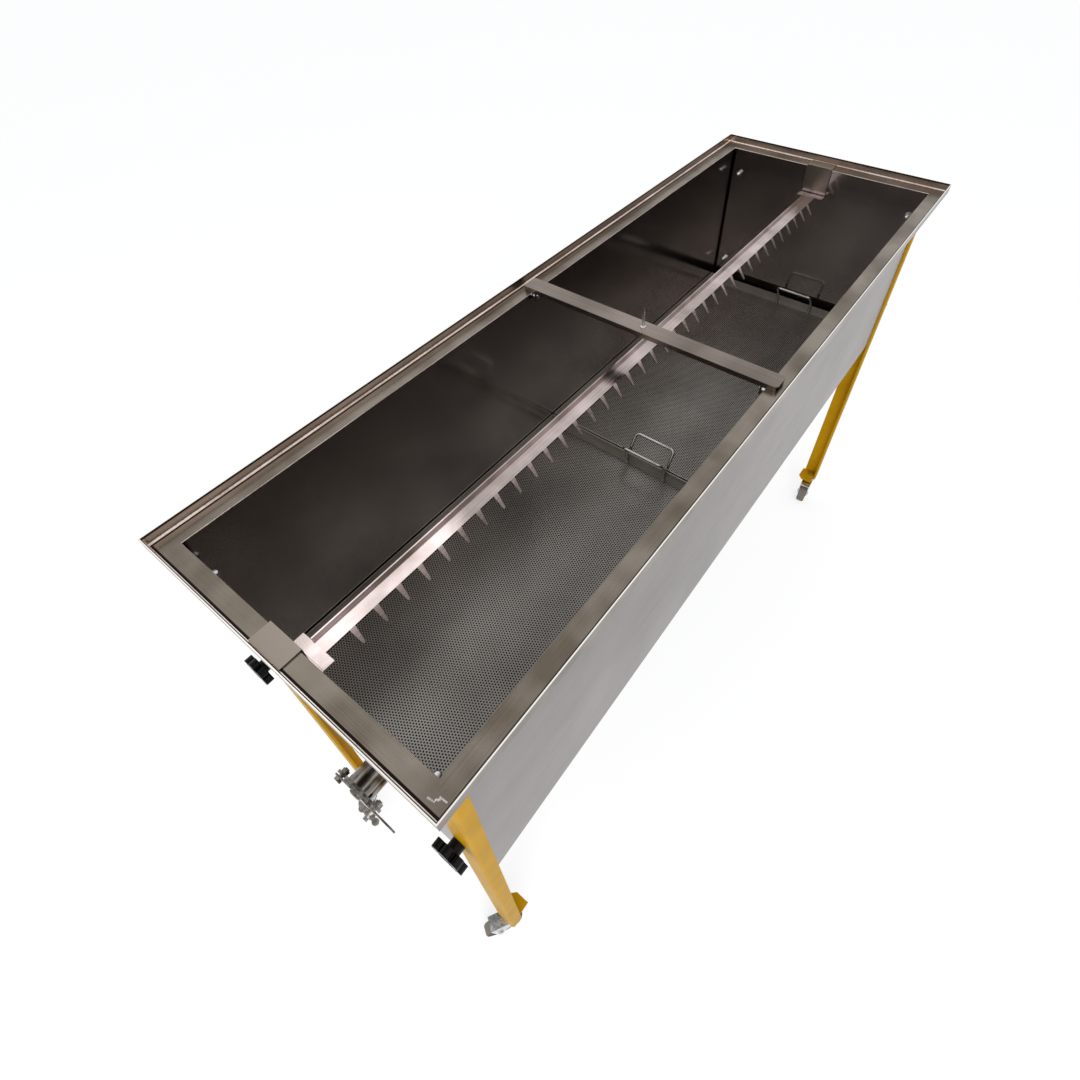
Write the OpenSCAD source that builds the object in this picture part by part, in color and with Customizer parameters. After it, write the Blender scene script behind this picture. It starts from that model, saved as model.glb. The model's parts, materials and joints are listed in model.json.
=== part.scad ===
// Uncapping tank on four legs with castors: a long stainless trough with an upturned rim,
// two perforated trays, a toothed frame rest, a sliding bar with a spike and an outlet gate.
// Millimetres. +X runs from the gate end to the far end, +Z up, the floor is z = 0.

/* [Tank] */
// Length inside the tank
inner_l = 1500; // [1300:10:1900]
// Width inside the tank
inner_w = 460; // [440:5:560]
// Height of the rim's top face above the floor
rim_h = 990; // [930:5:1080]
// Depth of the floor below the rim at the gate end
depth_gate = 450; // [435:5:500]
// Depth of the floor below the rim at the far end
depth_far = 384; // [380:2:430]
// Thickness of the wall and floor sheet
wall_t = 1.5; // [1:0.25:3]

/* [Rim] */
// Width of the flat flange round the opening
rim_w = 32; // [26:1:45]
// Height of the upturned outer lip
lip_h = 16; // [8:1:25]
// Thickness of the flange sheet
rim_t = 2; // [1.5:0.25:3]
// Thickness of the hemmed lip
lip_t = 3; // [2:0.5:4]
// Width of the flat along the top of the hem, which a lid lies on
hem_flat = 2; // [1:0.25:2]

/* [Legs] */
// Width of the leg flange on the end wall
leg_end_w = 40; // [36:1:50]
// Width of the leg flange on the long wall
leg_side_w = 24; // [20:1:40]
// Thickness of the leg angle
leg_t = 5; // [3:0.5:6]
// Radius of the leg angle's outer edge
leg_r = 7; // [2:0.5:9]
// Length of the foot plate along the tank
foot_l = 46; // [42:1:60]
// Width of the foot plate across the tank
foot_w = 41; // [38:1:55]
// Thickness of the foot plate
foot_t = 4; // [3:0.5:6]
// Length of the corner cut off the foot plate
foot_cut = 12; // [6:1:16]

/* [Leg fixings] */
// Diameter of the bolts and studs that hold the legs
bolt_d = 8; // [6:1:8]
// Depth of the upper bolts below the rim
bolt_drop = 57; // [45:1:90]
// Depth of the star knobs below the rim
knob_drop = 290; // [200:5:310]
// Distance of the bolts from the outer corner of the leg
bolt_in = 30; // [24:1:32]
// Largest diameter of a star knob
knob_d = 54; // [44:1:60]
// Thickness of the star of a knob
knob_t = 13; // [9:1:18]
// Number of lobes on a star knob
knob_lobes = 7; // [5:1:9]
// Diameter of the hub of a knob
knob_hub_d = 21; // [18:1:26]
// Length of the hub of a knob
knob_hub_l = 12; // [9:1:20]

/* [Castors] */
// Height of a castor from the floor to the foot plate
castor_h = 80; // [78:1:95]
// Diameter of the wheel
wheel_d = 60; // [50:1:61]
// Width of the wheel
wheel_w = 21; // [18:1:24]
// Trail of the wheel behind the swivel
trail = 34; // [28:1:38]
// Reach of the fork's top plate behind the swivel
fork_reach = 50; // [44:1:56]
// Diameter of the axle
axle_d = 8; // [6:0.5:10]
// Diameter of the swivel bolt
stem_d = 10; // [8:1:12]
// Diameter of the ball race under the foot plate
race_d = 38; // [34:1:42]
// Thickness of the fork sheet
fork_t = 2; // [1.5:0.5:3]

/* [Trays] */
// Depth of the tray sheet below the rim
tray_drop = 352; // [330:2:358]
// Gap between the trays and the long walls
tray_gap = 2.5; // [1:0.5:5]
// Gap between the gate end and its tray, which clears the nuts inside the end wall
tray_gate_gap = 14.5; // [14:0.5:30]
// Gap between the far end and its tray
tray_far_gap = 22; // [14:0.5:30]
// Gap between the two trays
tray_split = 5; // [3:1:12]
// Height of the folded edge of a tray
tray_edge_h = 20; // [12:1:26]
// Thickness of the tray sheet
tray_t = 1.2; // [1:0.1:2]
// Diameter of the holes drawn in the trays
hole_d = 15; // [8:1:16]
// Spacing of the holes drawn in the trays
hole_pitch = 25; // [22:1:40]
// Width of the ledge that carries the trays
ledge_w = 16; // [12:1:22]

/* [Tray handles] */
// Diameter of the handle wire
wire_d = 6; // [5:0.5:8]
// Distance between the two feet of a handle
handle_w = 90; // [70:1:120]
// Height of the upright part of a handle
handle_up = 27; // [25:1:40]
// Length of the leaning part of a handle
handle_lean = 34; // [26:1:50]
// Lean of the upper part from upright, in degrees
handle_tilt = 36; // [10:1:50]
// Lean of the handle at the gate end, which stays under the flange
gate_handle_tilt = 12; // [6:1:20]
// Bend radius of the handle wire at its corners
handle_r = 9; // [8:0.5:12]
// Distance of the handles from mid width
handle_y = -20; // [-30:1:30]

/* [Toothed frame rest] */
// Width of the flat rail
rail_w = 26; // [20:1:34]
// Depth of the rail below the rim
rail_drop = 60; // [50:1:75]
// Thickness of the rail
rail_t = 2; // [1.5:0.25:3]
// Height of the turned-up edge of the rail
rail_lip_h = 6; // [3:1:10]
// Distance from tooth to tooth, which spaces the frames
tooth_pitch = 38; // [32:1:45]
// Least distance from the end of the rail to its first tooth
tooth_end = 50; // [45:1:120]
// Length of a tooth
tooth_l = 26; // [18:1:32]
// Width of a tooth at its root
tooth_root = 9; // [7:0.5:12]
// Width of a tooth at its tip
tooth_tip = 4; // [2:0.5:6]
// Slope of the teeth below the horizontal, in degrees
tooth_slope = 53; // [35:1:60]
// Width of the hooks that hang the rail on the rim
hook_w = 58; // [50:1:80]
// Width of the cross piece at each end of the rail
pad_w = 60; // [50:1:90]
// Length of the cross piece along the tank
pad_l = 16; // [12:1:20]
// Distance of the rail from mid width
rail_y = 13; // [-20:1:20]

/* [Sliding bar] */
// Distance of the bar from the gate end
bar_x = 716; // [200:2:1200]
// Width of the bar
bar_w = 33; // [26:1:50]
// Height of the bar's folded edges
bar_h = 9; // [6:0.5:14]
// Thickness of the bar sheet
bar_t = 2; // [1.5:0.25:3]
// Gap between the end of the bar and the lip
bar_end_gap = 12; // [4:1:14]
// Length of the spike above the bar
spike_l = 36; // [25:1:60]
// Diameter of the spike
spike_d = 5; // [4:0.5:8]
// Gap between a stop tab and the wall
stop_gap = 8; // [8:1:20]
// Depth of the stop tabs below the bar's top face
stop_l = 24; // [22:1:40]

/* [Outlet gate] */
// Outer diameter of the outlet pipe
pipe_d = 50; // [40:1:54]
// Wall of the outlet pipe
pipe_wall = 2; // [1.5:0.25:3]
// Length of the outlet pipe outside the end wall
pipe_l = 44; // [38:1:60]
// Height of the pipe above the floor of the tank
pipe_up = 8; // [5:1:15]
// Diameter of the round gate plate
gate_d = 62; // [60:1:72]
// Thickness of the gate plate
gate_t = 5; // [4:0.5:8]
// Thickness of the swinging blade
blade_t = 3; // [2.5:0.5:5]
// Distance from the centre of the gate to each bolt
gate_bolt_r = 39; // [39:1:48]
// Distance from the centre of the gate to the tip of the lever
lever_l = 88; // [75:1:120]
// Width of the lever
lever_w = 15; // [12:1:20]

/* [Hidden] */
$fn = 48;
// Clearances
rest_gap = 0.3;
run_gap = 0.05;
bolt_gap = 0.25;
// Washers, nuts and heads follow the bolt diameter
nut_af = 1.6 * bolt_d;
nut_h = 0.8 * bolt_d;
head_h = 0.65 * bolt_d;
// Length of a knob's stud inside the star
stud_in = 4;
// The outer face of the legs, past the inside of the tank
leg_out = wall_t + leg_t;
knob_out = leg_out + rest_gap + knob_hub_l + knob_t;
far_reach = max(rim_w, knob_out);
seal_t = 1.5;
blade_x = pipe_l + seal_t + rest_gap;
wing_x = blade_x + blade_t + rest_gap;
wing_l = 12;
gate_reach = wing_x + wing_l + 3;
// The inside of the gate end and the far end, with the whole part centred on x = 0
x_gate = -inner_l / 2 + (gate_reach - far_reach) / 2;
half_w = inner_w / 2;
side_y = half_w + wall_t;
gate_z = -depth_gate + pipe_up + pipe_d / 2;
// Trays
tray_l = (inner_l - tray_gate_gap - tray_far_gap - tray_split) / 2;
tray_w = inner_w - 2 * tray_gap;
tray_x = [tray_gate_gap, inner_l - tray_far_gap - tray_l];
hole_margin = 16;
bend_in = 0.4;
bend_over = 0.03;
ledge_t = 1.5;
ledge_end = 12;
// Legs
leg_h = rim_h - rim_t - castor_h;
stem_in = leg_t + 13;
stem_head_h = 6.5;
race_t = 4;
crown_t = 3;
axle_z = wheel_d / 2;
cheek_gap = 1.2;
groove_w = 1.8;
cheek_y = wheel_w / 2 + cheek_gap;
crown_top = castor_h - race_t - rest_gap;
stem_nut_h = 6;
stem_low = crown_top - crown_t - stem_nut_h;
fork_front = 4 - race_d / 2;
fork_lap = 8;
fork_edge = 5;
// The castors' trail directions at rest, in degrees: gate front, gate back, far front, far back
castor_turn = [149, 205, 185, 150];
// Rail
rail_end = 9;
rail_len = inner_l - 2 * rail_end;
tooth_n = floor((rail_len - 2 * tooth_end) / tooth_pitch) + 1;
tooth_point = 1.5;
hook_drop = rail_drop + rail_t + 2;
hook_t = 2;
hook_gap = 1;
// Sliding bar
tab_t = 3;
stop_screw_d = 6;
stop_screw_up = 10;
tab_z = bar_h - bar_t - stop_l;
// Gate
ear_r = bolt_d / 2 + 6;
gate_back = pipe_l - gate_t;

// The tank's own frame: x from the inside of the gate end, z from the rim's top face
module tank() { translate([x_gate, 0, rim_h]) children(); }

// Places a child drawn for the gate-front corner at any corner: ex is 0 gate or 1 far, ey is -1 or 1
module corner(ex, ey) {
    tank() translate([ex * inner_l, 0, 0]) mirror([ex, 0, 0]) mirror([0, ey > 0 ? 1 : 0, 0])
        translate([0, -half_w, 0]) children();
}

function ex_of(i) = i < 2 ? 0 : 1;
function ey_of(i) = i % 2 == 0 ? -1 : 1;

module rounded_rect(w, d, r) {
    translate([r, 0]) square([w - 2 * r, d]);
    translate([0, r]) square([w, d - 2 * r]);
    for (x = [r, w - r], y = [r, d - r]) translate([x, y]) circle(r = r);
}

module hexagon(af, h) { cylinder(d = af / cos(30), h = h, $fn = 6); }

// A domed cap nut standing on z = 0
module cap_nut() {
    dome_r = 0.62 * bolt_d;
    collar = 1.5;
    hexagon(nut_af, nut_h);
    translate([0, 0, nut_h]) cylinder(r = dome_r, h = collar);
    translate([0, 0, nut_h + collar]) intersection() {
        sphere(r = dome_r);
        translate([0, 0, dome_r]) cube(2 * dome_r, center = true);
    }
}

// A round head standing on z = 0: a short rim under a dome
module round_head(d, rim, dome) {
    dome_r = (d * d / 4 + dome * dome) / (2 * dome);
    rotate_extrude() {
        square([d / 2, rim]);
        translate([0, rim]) intersection() {
            translate([0, dome - dome_r]) circle(r = dome_r);
            square([d / 2, dome]);
        }
    }
}

// Walls and floor
module side_wall(sy) {
    color("silver") tank() translate([0, sy > 0 ? side_y : -half_w, 0]) rotate([90, 0, 0])
        linear_extrude(wall_t) polygon([
            [-wall_t, -rim_t], [inner_l + wall_t, -rim_t],
            [inner_l + wall_t, -depth_far - wall_t], [-wall_t, -depth_gate - wall_t]
        ]);
}

module end_wall(ex) {
    depth = ex == 0 ? depth_gate : depth_far;
    color("silver") tank() translate([ex == 0 ? -wall_t : inner_l, 0, 0]) difference() {
        translate([0, -half_w, -depth - wall_t]) cube([wall_t, inner_w, depth + wall_t - rim_t]);
        for (y = [-1, 1], z = [bolt_drop, knob_drop])
            translate([-1, y * (half_w + leg_out - bolt_in), -z]) rotate([0, 90, 0])
                cylinder(d = bolt_d + 2 * bolt_gap, h = wall_t + 2);
        if (ex == 0) translate([-1, 0, gate_z]) rotate([0, 90, 0])
            cylinder(d = pipe_d + 2 * run_gap, h = wall_t + 2, $fn = 96);
    }
}

module floor_pan() {
    color("silver") tank() translate([0, half_w, 0]) rotate([90, 0, 0]) linear_extrude(inner_w)
        polygon([
            [0, -depth_gate], [inner_l, -depth_far],
            [inner_l, -depth_far - wall_t], [0, -depth_gate - wall_t]
        ]);
}

// A mitred flange with an upturned lip and its rolled hem, drawn along +X with the opening on +Y
module rim_strip(len) {
    hem_r = lip_t / 2;
    hem_z = lip_h - sqrt(hem_r * hem_r - hem_flat * hem_flat / 4);
    inner = rim_w - hem_r - rim_t / 2;
    intersection() {
        translate([-rim_w - 1, 0, 0]) rotate([90, 0, 90]) linear_extrude(len + 2 * rim_w + 2) {
            translate([-inner - rim_t, -rim_t]) square([inner + rim_t, rim_t]);
            translate([-inner - rim_t, -rim_t]) square([rim_t, hem_z + rim_t]);
            intersection() {
                translate([hem_r - rim_w, hem_z]) circle(r = hem_r);
                translate([-rim_w, hem_z - hem_r]) square([lip_t, lip_h - hem_z + hem_r]);
            }
        }
        translate([0, 0, -rim_t - 1]) linear_extrude(lip_h + rim_t + 2)
            polygon([[0, 0], [len, 0], [len + rim_w, -rim_w], [-rim_w, -rim_w]]);
    }
}

module rim_front() { color("silver") tank() translate([0, -half_w, 0]) rim_strip(inner_l); }
module rim_back() {
    color("silver") tank() translate([inner_l, half_w, 0]) rotate([0, 0, 180]) rim_strip(inner_l);
}
module rim_gate_end() {
    color("silver") tank() translate([0, half_w, 0]) rotate([0, 0, -90]) rim_strip(inner_w);
}
module rim_far_end() {
    color("silver") tank() translate([inner_l, -half_w, 0]) rotate([0, 0, 90]) rim_strip(inner_w);
}

// One leg: an angle round the outside of a corner, with its outer edge rounded
module leg_profile() {
    o = -leg_out;
    difference() {
        union() {
            translate([o, o + leg_r]) square([leg_t, leg_end_w - leg_r]);
            translate([o + leg_r, o]) square([leg_side_w - leg_r, leg_t]);
            translate([o + leg_r, o + leg_r]) circle(r = leg_r);
        }
        translate([o + leg_t, o + leg_t]) square([leg_side_w, leg_end_w]);
    }
}

module leg(i) {
    color("goldenrod") corner(ex_of(i), ey_of(i)) difference() {
        translate([0, 0, -rim_t - leg_h]) linear_extrude(leg_h) leg_profile();
        for (z = [bolt_drop, knob_drop])
            translate([-leg_out - 1, bolt_in - leg_out, -z]) rotate([0, 90, 0])
                cylinder(d = bolt_d + 2 * bolt_gap, h = leg_t + 2);
    }
}

// The plate across the bottom of a leg, with one corner cut off and the hole for the castor
module foot(i) {
    o = leg_t - leg_out;
    color("goldenrod") corner(ex_of(i), ey_of(i)) translate([0, 0, -rim_t - leg_h]) difference() {
        translate([o, o, 0]) linear_extrude(foot_t) polygon([
            [0, 0], [foot_l, 0], [foot_l, foot_w - foot_cut], [foot_l - foot_cut, foot_w], [0, foot_w]
        ]);
        translate([stem_in - leg_out, stem_in - leg_out, -1])
            cylinder(d = stem_d + 2 * bolt_gap, h = foot_t + 2);
    }
}

// Upper bolts: a hexagon head outside and a cap nut inside, one at each corner
module leg_bolts() {
    color("lightgray") for (i = [0:3]) corner(ex_of(i), ey_of(i))
        translate([0, bolt_in - leg_out, -bolt_drop]) rotate([0, 90, 0]) {
            translate([0, 0, -leg_out - head_h]) hexagon(nut_af, head_h);
            translate([0, 0, -leg_out]) cylinder(d = bolt_d, h = leg_out);
            cap_nut();
        }
}

// Studs of the star knobs, each with a cap nut inside the tank
module knob_studs() {
    color("lightgray") for (i = [0:3]) corner(ex_of(i), ey_of(i))
        translate([0, bolt_in - leg_out, -knob_drop]) rotate([0, 90, 0]) {
            translate([0, 0, -leg_out - knob_hub_l - stud_in])
                cylinder(d = bolt_d, h = leg_out + knob_hub_l + stud_in);
            cap_nut();
        }
}

// A star knob: a ring of round lobes, a domed face and a hub with a blind bore for the stud
module star_knob() {
    lobe_r = 0.145 * knob_d;
    ring_r = knob_d / 2 - lobe_r;
    face_z = rest_gap + knob_hub_l + knob_t;
    groove = 2;
    difference() {
        union() {
            translate([0, 0, rest_gap]) cylinder(d = knob_hub_d, h = knob_hub_l);
            translate([0, 0, rest_gap + knob_hub_l]) linear_extrude(knob_t) {
                circle(r = ring_r - 1);
                for (a = [0:knob_lobes - 1])
                    rotate(a * 360 / knob_lobes) translate([ring_r, 0]) circle(r = lobe_r);
            }
        }
        translate([0, 0, -1]) cylinder(r = bolt_d / 2 + run_gap, h = knob_hub_l + stud_in + 2);
        translate([0, 0, face_z - groove]) difference() {
            cylinder(r = 0.62 * ring_r, h = groove + 1);
            translate([0, 0, -1]) cylinder(r = 0.3 * ring_r, h = groove + 3);
        }
    }
}

module knob(i) {
    color([0.08, 0.08, 0.08]) corner(ex_of(i), ey_of(i))
        translate([-leg_out, bolt_in - leg_out, -knob_drop]) rotate([0, -90, 0]) star_knob();
}

// Castors, drawn with the swivel axis at the origin, z from the floor and the wheel towards +X
module castor_place(i) {
    corner(ex_of(i), ey_of(i)) translate([stem_in - leg_out, stem_in - leg_out, -rim_h]) children();
}

// Turns a castor part to its rest direction in the part's own frame
module castor_part(i) {
    sx = ex_of(i) == 0 ? 1 : -1;
    x = x_gate + ex_of(i) * inner_l + sx * (stem_in - leg_out);
    y = ey_of(i) * (half_w - (stem_in - leg_out));
    translate([x, y, 0]) rotate([0, 0, castor_turn[i]]) children();
}

module castor_mounts() {
    color("lightgray") for (i = [0:3]) castor_place(i) {
        translate([0, 0, castor_h + foot_t]) hexagon(1.6 * stem_d, stem_head_h);
        translate([0, 0, stem_low]) cylinder(d = stem_d, h = castor_h + foot_t - stem_low);
        translate([0, 0, castor_h - race_t]) cylinder(d = race_d, h = race_t);
        translate([0, 0, stem_low - rest_gap]) cylinder(d = 1.7 * stem_d, h = stem_nut_h);
    }
}

// One cheek of the fork in its own plane: from the top plate down to a round end at the axle
module cheek_outline() {
    end_r = axle_d / 2 + fork_edge;
    polygon([
        [fork_front, crown_top], [fork_reach, crown_top], [fork_reach, crown_top - fork_lap],
        [trail + end_r, axle_z], [trail - end_r, axle_z], [fork_front, crown_top - fork_lap]
    ]);
    translate([trail, axle_z]) circle(r = end_r);
}

// The fork: a folded plate over the wheel, stiffened by a pressed outline, with a round crown
module fork(i) {
    side = cheek_y + fork_t;
    rib_x = race_d / 2 + fork_edge;
    rib_l = fork_reach - 7 - rib_x;
    rib_w = 2 * (side - fork_edge);
    color("lightgray") castor_part(i) difference() {
        union() {
            translate([0, 0, crown_top - crown_t]) cylinder(d = race_d, h = crown_t);
            translate([fork_front, -side, crown_top - crown_t]) linear_extrude(crown_t)
                rounded_rect(fork_reach - fork_front, 2 * side, 1.5);
            for (s = [-1, 1]) translate([0, s > 0 ? side : -cheek_y, 0]) rotate([90, 0, 0])
                linear_extrude(fork_t) cheek_outline();
        }
        translate([rib_x, -rib_w / 2, crown_top - crown_t / 3]) linear_extrude(crown_t) difference() {
            rounded_rect(rib_l, rib_w, 4);
            translate([groove_w, groove_w]) rounded_rect(rib_l - 2 * groove_w, rib_w - 2 * groove_w, 2.5);
        }
        translate([0, 0, crown_top - crown_t - 1]) cylinder(r = stem_d / 2 + run_gap, h = crown_t + 2);
        translate([trail, side + 1, axle_z]) rotate([90, 0, 0]) cylinder(d = axle_d, h = 2 * side + 2);
    }
}

module axle(i) {
    side = cheek_y + fork_t;
    head_t = 2.5;
    color("lightgray") castor_part(i) translate([trail, 0, axle_z]) rotate([90, 0, 0]) {
        cylinder(d = axle_d, h = 2 * side, center = true);
        for (s = [-1, 1]) translate([0, 0, s * (side + head_t / 2)])
            cylinder(d = 1.6 * axle_d, h = head_t, center = true);
    }
}

// A wheel turned about its own axis: crowned tyre, thin web and a hub with a true bore
module wheel(i) {
    r = wheel_d / 2;
    w = wheel_w / 2;
    hub_r = axle_d / 2 + 5;
    hub_w = w + cheek_gap - 0.4;
    color("dimgray") castor_part(i) translate([trail, 0, axle_z]) rotate([90, 0, 0])
        rotate_extrude($fn = 96) polygon([
            [axle_d / 2 + run_gap, -hub_w], [hub_r, -hub_w], [hub_r, -w + 5], [r - 9, -w + 3],
            [r - 8, -w], [r - 2, -w], [r, -w + 3],
            [r, w - 3], [r - 2, w], [r - 8, w], [r - 9, w - 3],
            [hub_r, w - 5], [hub_r, hub_w], [axle_d / 2 + run_gap, hub_w]
        ]);
}

// Ledges: an angle along each long wall, under the trays
module tray_ledge(sy) {
    top = -tray_drop - tray_t - rest_gap;
    color("silver") tank() mirror([0, sy > 0 ? 0 : 1, 0]) translate([ledge_end, half_w, top]) {
        translate([0, -ledge_w, -ledge_t]) cube([inner_l - 2 * ledge_end, ledge_w, ledge_t]);
        translate([0, -ledge_t, -ledge_w]) cube([inner_l - 2 * ledge_end, ledge_t, ledge_w]);
    }
}

// A tray's sheet with its field of staggered holes
module tray_sheet(k) {
    row = hole_pitch * sin(60);
    nx = floor((tray_l - 2 * hole_margin) / hole_pitch) - 1;
    ny = floor((tray_w - 2 * hole_margin) / row / 2);
    color("gray") tank() translate([tray_x[k], 0, -tray_drop - tray_t]) linear_extrude(tray_t) difference() {
        translate([0, -tray_w / 2]) square([tray_l, tray_w]);
        for (j = [-ny:ny], i = [0:nx]) {
            shift = (j % 2 == 0 ? -0.25 : 0.25) + i - nx / 2;
            translate([tray_l / 2 + shift * hole_pitch, j * row]) circle(d = hole_d, $fn = 24);
        }
    }
}

// The folded edge all round a tray
module tray_edges(k) {
    color("gray") tank() translate([tray_x[k], 0, -tray_drop]) linear_extrude(tray_edge_h) difference() {
        translate([0, -tray_w / 2]) square([tray_l, tray_w]);
        translate([tray_t, -tray_w / 2 + tray_t]) square([tray_l - 2 * tray_t, tray_w - 2 * tray_t]);
    }
}

// One side of a bent wire handle, from its foot on the sheet to the middle of its top.
// The straights run a little way into the bends, which are a hair thicker.
module half_handle(tilt) {
    r = wire_d / 2;
    bend_cut = handle_r * tan(tilt / 2);
    bend_z = handle_up - bend_cut;
    lean = handle_lean - bend_cut;
    side = handle_w / 2;
    top = lean - handle_r;
    cylinder(r = r, h = bend_z + bend_in);
    translate([handle_r, 0, bend_z]) rotate([90, 0, 0]) rotate([0, 0, 180 - tilt])
        rotate_extrude(angle = tilt) translate([handle_r, 0]) circle(r = r + bend_over);
    translate([handle_r, 0, bend_z]) rotate([0, tilt, 0]) translate([-handle_r, 0, 0]) {
        translate([0, 0, -bend_in]) cylinder(r = r, h = top + 2 * bend_in);
        translate([0, -handle_r, top]) rotate([90, 0, 90])
            rotate_extrude(angle = 90) translate([handle_r, 0]) circle(r = r + bend_over);
        translate([0, bend_in - handle_r, lean]) rotate([90, 0, 0])
            cylinder(r = r, h = side - handle_r + 2 * bend_in);
    }
}

module handle(tilt) {
    for (s = [0, 1]) mirror([0, s, 0]) translate([0, handle_w / 2, 0]) half_handle(tilt);
}

module tray_handles(k) {
    in = tray_t + 0.2 + wire_d / 2;
    color("lightgray") tank() translate([tray_x[k], handle_y, -tray_drop]) {
        translate([in, 0, 0]) handle(k == 0 ? gate_handle_tilt : handle_tilt);
        translate([tray_l - in, 0, 0]) mirror([1, 0, 0]) handle(handle_tilt);
    }
}

// The rail: a flat strip with one edge turned up, between the cross pieces of the hooks
module frame_rest_rail() {
    strip_l = rail_len - 2 * pad_l;
    color("silver") tank() translate([rail_end + pad_l, rail_y, -rail_drop]) {
        translate([0, -rail_w / 2, -rail_t]) cube([strip_l, rail_w, rail_t]);
        translate([0, rail_w / 2 - rail_t, 0]) cube([strip_l, rail_t, rail_lip_h]);
    }
}

// A pointed tooth, bent down from the edge of the rail at y = 0 towards -Y and cut square where it meets it
module tooth() {
    difference() {
        rotate([tooth_slope, 0, 0]) translate([0, 0, -rail_t]) linear_extrude(rail_t) polygon([
            [-tooth_root / 2, tooth_root], [tooth_root / 2, tooth_root], [tooth_root / 2, 0],
            [tooth_tip / 2, tooth_point - tooth_l], [0, -tooth_l], [-tooth_tip / 2, tooth_point - tooth_l],
            [-tooth_root / 2, 0]
        ]);
        translate([-tooth_root, 0, -2 * tooth_root]) cube([2 * tooth_root, 2 * tooth_root, 4 * tooth_root]);
    }
}

// Two rows of teeth along the edges of the rail, from the middle outwards
module rest_teeth() {
    first = (inner_l - (tooth_n - 1) * tooth_pitch) / 2;
    color("silver") tank() translate([first, rail_y, -rail_drop])
        for (i = [0:tooth_n - 1], s = [0, 1]) translate([i * tooth_pitch, 0, 0]) mirror([0, s, 0])
            translate([0, -rail_w / 2, 0]) tooth();
}

// A hook that hangs on the flange and drops inside the end wall, with the cross piece on its foot
module rest_hook(ex) {
    reach = rim_w - lip_t - 2;
    foot_reach = rail_end + pad_l;
    seat = -rail_drop - rail_t;
    color("silver") tank() translate([ex * inner_l, rail_y, 0]) mirror([ex, 0, 0]) {
        translate([0, hook_w / 2, 0]) rotate([90, 0, 0]) linear_extrude(hook_w) polygon([
            [-reach, rest_gap], [hook_gap, rest_gap], [hook_gap, -hook_drop], [foot_reach, -hook_drop],
            [foot_reach, seat], [hook_gap + hook_t, seat], [hook_gap + hook_t, rest_gap + hook_t],
            [-reach, rest_gap + hook_t]
        ]);
        translate([rail_end, -pad_w / 2, seat]) cube([pad_l, pad_w, rail_t]);
    }
}

// The sliding bar: a shallow channel, open side down, with round corners at its ends
module bar_place() { tank() translate([bar_x, 0, rest_gap]) children(); }

module sliding_bar() {
    half = half_w + rim_w - lip_t - bar_end_gap;
    color("silver") bar_place() difference() {
        translate([-bar_w / 2, -half, 0]) linear_extrude(bar_h) rounded_rect(bar_w, 2 * half, 6);
        translate([-bar_w / 2 + bar_t, -half - 1, -1])
            cube([bar_w - 2 * bar_t, 2 * half + 2, bar_h - bar_t + 1]);
        cylinder(d = spike_d, h = bar_h + 1);
    }
}

// The spike: a pointed pin with a collar, pushed through the bar
module bar_spike() {
    point = 2 * spike_d;
    color("dimgray") bar_place() translate([0, 0, bar_h]) rotate_extrude() polygon([
        [0, -bar_h + 1], [spike_d / 2, -bar_h + 1], [spike_d / 2, 0], [spike_d / 2 + 2, 0],
        [spike_d / 2 + 2, 1.5], [spike_d / 2, 2.5], [spike_d / 2, spike_l - point], [0.4, spike_l], [0, spike_l]
    ]);
}

module spike_nut() {
    nut = 3.5;
    color("lightgray") bar_place() translate([0, 0, bar_h - bar_t - nut]) difference() {
        hexagon(1.7 * spike_d, nut);
        translate([0, 0, -1]) cylinder(d = spike_d, h = nut + 2);
    }
}

// Stop tabs hang from the bar just inside the long walls
module stop_tabs() {
    color("silver") bar_place() for (s = [-1, 1])
        translate([-bar_w / 2 + bar_t, s * (half_w - stop_gap) - tab_t / 2, tab_z]) difference() {
            cube([bar_w - 2 * bar_t, tab_t, stop_l]);
            translate([bar_w / 2 - bar_t - 8, -1, stop_screw_up]) rotate([-90, 0, 0])
                cylinder(d = stop_screw_d, h = tab_t + 2);
        }
}

// Each stop tab has a screw through it, with a round head inside and a nut by the wall
module stop_screws() {
    color("white") bar_place() for (s = [-1, 1])
        translate([-8, s * (half_w - stop_gap), tab_z + stop_screw_up]) rotate([s * 90, 0, 0]) {
            translate([0, 0, tab_t / 2]) round_head(10, 1.5, 2.5);
            translate([0, 0, 1 - stop_gap]) cylinder(d = stop_screw_d, h = stop_gap + 1);
            translate([0, 0, -tab_t / 2 - 5]) hexagon(10, 5);
        }
}

// The gate is drawn in its own frame: z points out of the tank, x points to the tank's -Y side
module gate_place() { tank() translate([0, 0, gate_z]) rotate([0, -90, 0]) rotate([0, 0, -90]) children(); }

module outlet_pipe() {
    color("lightgray") gate_place() difference() {
        cylinder(d = pipe_d, h = pipe_l, $fn = 96);
        translate([0, 0, -1]) cylinder(d = pipe_d - 2 * pipe_wall, h = pipe_l + 2, $fn = 96);
    }
}

module gate_outline() {
    circle(d = gate_d, $fn = 96);
    translate([-gate_bolt_r, -ear_r]) square([2 * gate_bolt_r, 2 * ear_r]);
    for (s = [-1, 1]) translate([s * gate_bolt_r, 0]) circle(r = ear_r);
}

module gate_plate() {
    color("lightgray") gate_place() translate([0, 0, pipe_l - gate_t]) difference() {
        linear_extrude(gate_t) gate_outline();
        translate([0, 0, -1]) cylinder(d = pipe_d + 2 * run_gap, h = gate_t + 2, $fn = 96);
        for (s = [-1, 1]) translate([s * gate_bolt_r, 0, -1]) cylinder(d = bolt_d, h = gate_t + 2);
    }
}

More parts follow.
